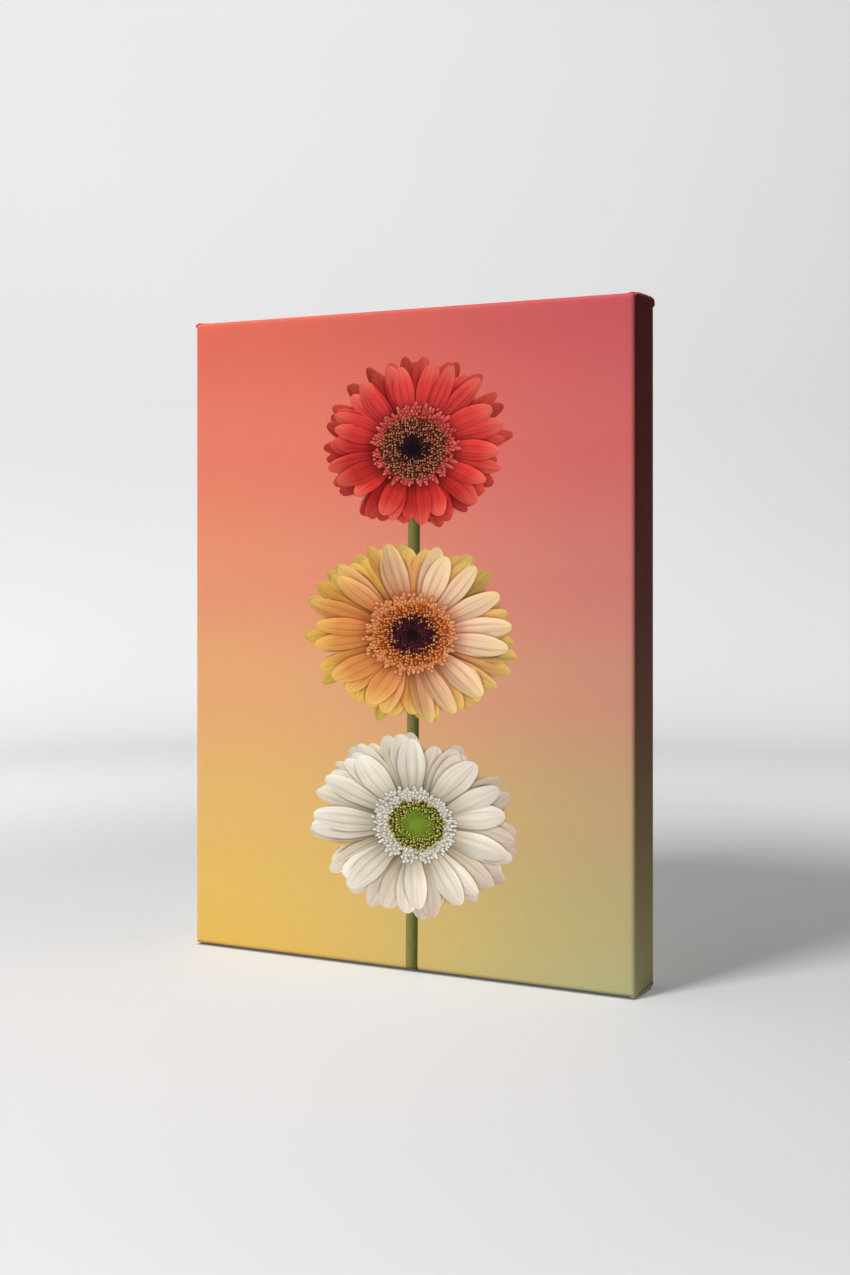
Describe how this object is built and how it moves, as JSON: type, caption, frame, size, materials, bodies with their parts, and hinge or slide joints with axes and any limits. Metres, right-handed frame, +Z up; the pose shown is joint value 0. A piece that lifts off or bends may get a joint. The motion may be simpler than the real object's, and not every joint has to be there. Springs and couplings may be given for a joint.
{
  "type": "stretched canvas",
  "caption": "Cloth wrapped over a deep rectangular frame of keyed wooden stretcher bars, stapled at the back, with hanging rings.",
  "frame": {"origin": "on the surface it stands on, at the centre of the bounding box", "axes": "+Z up; the painted face looks along -Y; +X to the right of someone facing it"},
  "size_m": [0.3058, 0.0374, 0.4102],
  "materials": {
    "canvas": "matt printed cotton, fine plain weave",
    "bar_wood": "planed pine, unfinished",
    "key_wood": "sawn beech, unfinished",
    "staple_steel": "galvanised",
    "hanger_steel": "zinc plated, satin",
    "screw_steel": "yellow zinc plated",
    "bumper_rubber": "matt"
  },
  "bodies": {
    "stretched_frame": {"canvas_sheet": "canvas", "stretcher_bar_top": "bar_wood", "stretcher_bar_bottom": "bar_wood", "stretcher_bar_left": "bar_wood", "stretcher_bar_right": "bar_wood", "staples_top": "staple_steel", "staples_bottom": "staple_steel", "staples_left": "staple_steel", "staples_right": "staple_steel", "hanger_strap_left": "hanger_steel", "hanger_strap_right": "hanger_steel", "hanger_screw_left": "screw_steel", "hanger_screw_right": "screw_steel", "wall_bumper_left": "bumper_rubber", "wall_bumper_right": "bumper_rubber"},
    "corner_key_bottom_left_level": {"corner_key_bottom_left_level": "key_wood"},
    "corner_key_bottom_left_upright": {"corner_key_bottom_left_upright": "key_wood"},
    "corner_key_bottom_right_level": {"corner_key_bottom_right_level": "key_wood"},
    "corner_key_bottom_right_upright": {"corner_key_bottom_right_upright": "key_wood"},
    "corner_key_top_left_level": {"corner_key_top_left_level": "key_wood"},
    "corner_key_top_left_upright": {"corner_key_top_left_upright": "key_wood"},
    "corner_key_top_right_level": {"corner_key_top_right_level": "key_wood"},
    "corner_key_top_right_upright": {"corner_key_top_right_upright": "key_wood"},
    "hanger_ring_left": {"hanger_ring_left": "hanger_steel"},
    "hanger_ring_right": {"hanger_ring_right": "hanger_steel"}
  },
  "joints": [
    {"name": "key_bottom_left_level_slide", "type": "slide", "parent": "stretched_frame", "child": "corner_key_bottom_left_level", "axis": [1, 0, 0], "range_m": [0, 0.033]},
    {"name": "key_bottom_left_upright_slide", "type": "slide", "parent": "stretched_frame", "child": "corner_key_bottom_left_upright", "axis": [0, 0, 1], "range_m": [0, 0.033]},
    {"name": "key_bottom_right_level_slide", "type": "slide", "parent": "stretched_frame", "child": "corner_key_bottom_right_level", "axis": [-1, 0, 0], "range_m": [0, 0.033]},
    {"name": "key_bottom_right_upright_slide", "type": "slide", "parent": "stretched_frame", "child": "corner_key_bottom_right_upright", "axis": [0, 0, 1], "range_m": [0, 0.033]},
    {"name": "key_top_left_level_slide", "type": "slide", "parent": "stretched_frame", "child": "corner_key_top_left_level", "axis": [1, 0, 0], "range_m": [0, 0.033]},
    {"name": "key_top_left_upright_slide", "type": "slide", "parent": "stretched_frame", "child": "corner_key_top_left_upright", "axis": [0, 0, -1], "range_m": [0, 0.033]},
    {"name": "key_top_right_level_slide", "type": "slide", "parent": "stretched_frame", "child": "corner_key_top_right_level", "axis": [-1, 0, 0], "range_m": [0, 0.033]},
    {"name": "key_top_right_upright_slide", "type": "slide", "parent": "stretched_frame", "child": "corner_key_top_right_upright", "axis": [0, 0, -1], "range_m": [0, 0.033]},
    {"name": "ring_left_swing", "type": "hinge", "parent": "stretched_frame", "child": "hanger_ring_left", "pos_m": [-0.1214, 0.01454, 0.3067], "axis": [1, 0, 0], "range_deg": [0, 164]},
    {"name": "ring_right_swing", "type": "hinge", "parent": "stretched_frame", "child": "hanger_ring_right", "pos_m": [0.1214, 0.01454, 0.3067], "axis": [1, 0, 0], "range_deg": [0, 164]}
  ]
}
